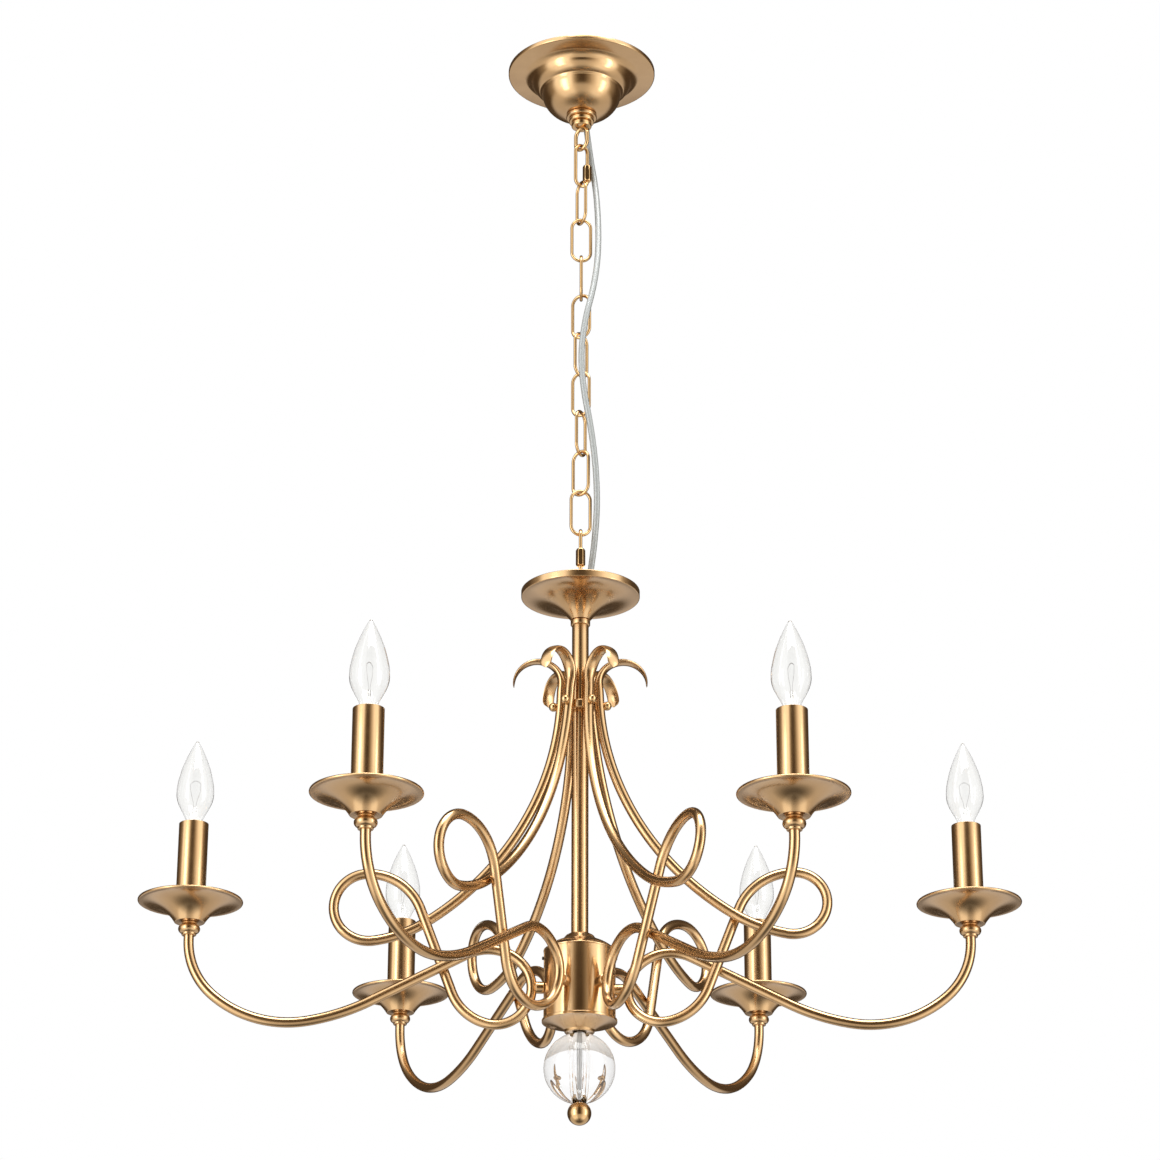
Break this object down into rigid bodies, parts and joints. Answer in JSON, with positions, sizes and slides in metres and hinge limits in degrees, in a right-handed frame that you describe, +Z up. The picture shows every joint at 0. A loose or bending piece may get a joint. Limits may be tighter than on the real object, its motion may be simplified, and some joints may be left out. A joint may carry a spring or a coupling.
{
  "type": "multi arm chandelier",
  "caption": "Brass chandelier with scrolled bent-tube arms, candle lamps on drip pans, a central stem with crystal ball, hung by a chain from a ceiling canopy.",
  "frame": {"origin": "middle of the ceiling crossbar's top face, halfway between its two screw holes, on the ceiling plane", "axes": "+Z up towards the ceiling, the fitting hangs along -Z; +X towards arm 1 and along the crossbar"},
  "size_m": [0.8218, 0.7248, 1.0968],
  "materials": {
    "satin_brass": "satin, antique",
    "polished_brass": "polished",
    "clear_glass": "clear, thin blown",
    "crystal": "clear, solid",
    "clear_cord": "clear sheath over silver braid",
    "plated_steel": "zinc plated",
    "socket_plastic": "matt"
  },
  "bodies": {
    "ceiling_group": {"ceiling_crossbar": "plated_steel", "canopy": "satin_brass", "canopy_collar": "satin_brass", "canopy_locking_ring": "satin_brass", "canopy_nipple": "plated_steel", "nipple_nuts": "plated_steel", "terminal_block": "socket_plastic", "canopy_loop": "polished_brass", "supply_cord": "clear_cord"},
    "upper_link": {"upper_screw_link": "polished_brass"},
    "upper_nut": {"upper_link_nut": "polished_brass"},
    "link_1": {"chain_link_1": "satin_brass"},
    "link_2": {"chain_link_2": "satin_brass"},
    "link_3": {"chain_link_3": "satin_brass"},
    "link_4": {"chain_link_4": "satin_brass"},
    "link_5": {"chain_link_5": "satin_brass"},
    "link_6": {"chain_link_6": "satin_brass"},
    "link_7": {"chain_link_7": "satin_brass"},
    "link_8": {"chain_link_8": "satin_brass"},
    "link_9": {"chain_link_9": "satin_brass"},
    "lower_link": {"lower_screw_link": "polished_brass"},
    "lower_nut": {"lower_link_nut": "polished_brass"},
    "chandelier": {"body_loop": "polished_brass", "top_cap": "satin_brass", "stem_collar": "satin_brass", "upper_stem": "satin_brass", "lower_stem": "satin_brass", "crown_ring": "polished_brass", "crown_cap_nuts": "polished_brass", "tie_rod": "plated_steel", "hub_shell": "satin_brass", "hub_lid": "satin_brass", "hub_base": "satin_brass", "hub_screws": "plated_steel", "arm_ferrules": "satin_brass", "arm_1": "satin_brass", "arm_2": "satin_brass", "arm_3": "satin_brass", "arm_4": "satin_brass", "arm_5": "satin_brass", "arm_6": "satin_brass", "crystal_ball": "crystal", "finial_ball": "polished_brass", "pan_seats": "satin_brass", "drip_pan_1": "satin_brass", "drip_pan_2": "satin_brass", "drip_pan_3": "satin_brass", "drip_pan_4": "satin_brass", "drip_pan_5": "satin_brass", "drip_pan_6": "satin_brass", "candle_sleeves": "satin_brass", "lamp_holders": "socket_plastic"},
    "bulb_1_lamp": {"bulb_1": "clear_glass"},
    "bulb_2_lamp": {"bulb_2": "clear_glass"},
    "bulb_3_lamp": {"bulb_3": "clear_glass"},
    "bulb_4_lamp": {"bulb_4": "clear_glass"},
    "bulb_5_lamp": {"bulb_5": "clear_glass"},
    "bulb_6_lamp": {"bulb_6": "clear_glass"}
  },
  "joints": [
    {"name": "upper_link_swing", "type": "hinge", "parent": "ceiling_group", "child": "upper_link", "pos_m": [0, 0, -0.0895], "axis": [0.7071, -0.7071, 0], "range_deg": [-7, 7], "deforming": ["supply_cord"]},
    {"name": "link_1_swing", "type": "hinge", "parent": "upper_link", "child": "link_1", "pos_m": [0, 0, -0.13175], "axis": [0.866, 0.5, 0], "range_deg": [-7, 7]},
    {"name": "link_2_swing", "type": "hinge", "parent": "link_1", "child": "link_2", "pos_m": [0, 0, -0.1742], "axis": [0.454, -0.891, 0], "range_deg": [-7, 7]},
    {"name": "link_3_swing", "type": "hinge", "parent": "link_2", "child": "link_3", "pos_m": [0, 0, -0.2168], "axis": [0.9962, 0.0872, 0], "range_deg": [-7, 7]},
    {"name": "link_4_swing", "type": "hinge", "parent": "link_3", "child": "link_4", "pos_m": [0, 0, -0.2594], "axis": [0, 1, 0], "range_deg": [-7, 7]},
    {"name": "link_5_swing", "type": "hinge", "parent": "link_4", "child": "link_5", "pos_m": [0, 0, -0.302], "axis": [0.891, -0.454, 0], "range_deg": [-7, 7]},
    {"name": "link_6_swing", "type": "hinge", "parent": "link_5", "child": "link_6", "pos_m": [0, 0, -0.3446], "axis": [0.6157, 0.788, 0], "range_deg": [-7, 7]},
    {"name": "link_7_swing", "type": "hinge", "parent": "link_6", "child": "link_7", "pos_m": [0, 0, -0.3872], "axis": [0.866, -0.5, 0], "range_deg": [-7, 7]},
    {"name": "link_8_swing", "type": "hinge", "parent": "link_7", "child": "link_8", "pos_m": [0, 0, -0.4298], "axis": [0.454, 0.891, 0], "range_deg": [-7, 7]},
    {"name": "link_9_swing", "type": "hinge", "parent": "link_8", "child": "link_9", "pos_m": [0, 0, -0.4724], "axis": [0.788, -0.6157, 0], "range_deg": [-7, 7]},
    {"name": "lower_link_swing", "type": "hinge", "parent": "link_9", "child": "lower_link", "pos_m": [0, 0, -0.515], "axis": [0.9848, 0.1736, 0], "range_deg": [-7, 7]},
    {"name": "chandelier_swing", "type": "hinge", "parent": "lower_link", "child": "chandelier", "pos_m": [0, 0, -0.55765], "axis": [0, -1, 0], "range_deg": [-7, 7]},
    {"name": "upper_nut_travel", "type": "slide", "parent": "upper_link", "child": "upper_nut", "axis": [0, 0, 1], "range_m": [0, 0.014]},
    {"name": "lower_nut_travel", "type": "slide", "parent": "lower_link", "child": "lower_nut", "axis": [0, 0, 1], "range_m": [0, 0.014]},
    {"name": "bulb_1_screw", "type": "hinge", "parent": "chandelier", "child": "bulb_1_lamp", "pos_m": [0.362, 0, -0.831], "axis": [0, 0, 1], "continuous": true},
    {"name": "bulb_2_screw", "type": "hinge", "parent": "chandelier", "child": "bulb_2_lamp", "pos_m": [0.181, 0.3135, -0.831], "axis": [0, 0, 1], "continuous": true},
    {"name": "bulb_3_screw", "type": "hinge", "parent": "chandelier", "child": "bulb_3_lamp", "pos_m": [-0.181, 0.3135, -0.831], "axis": [0, 0, 1], "continuous": true},
    {"name": "bulb_4_screw", "type": "hinge", "parent": "chandelier", "child": "bulb_4_lamp", "pos_m": [-0.362, 0, -0.831], "axis": [0, 0, 1], "continuous": true},
    {"name": "bulb_5_screw", "type": "hinge", "parent": "chandelier", "child": "bulb_5_lamp", "pos_m": [-0.181, -0.3135, -0.831], "axis": [0, 0, 1], "continuous": true},
    {"name": "bulb_6_screw", "type": "hinge", "parent": "chandelier", "child": "bulb_6_lamp", "pos_m": [0.181, -0.3135, -0.831], "axis": [0, 0, 1], "continuous": true}
  ]
}
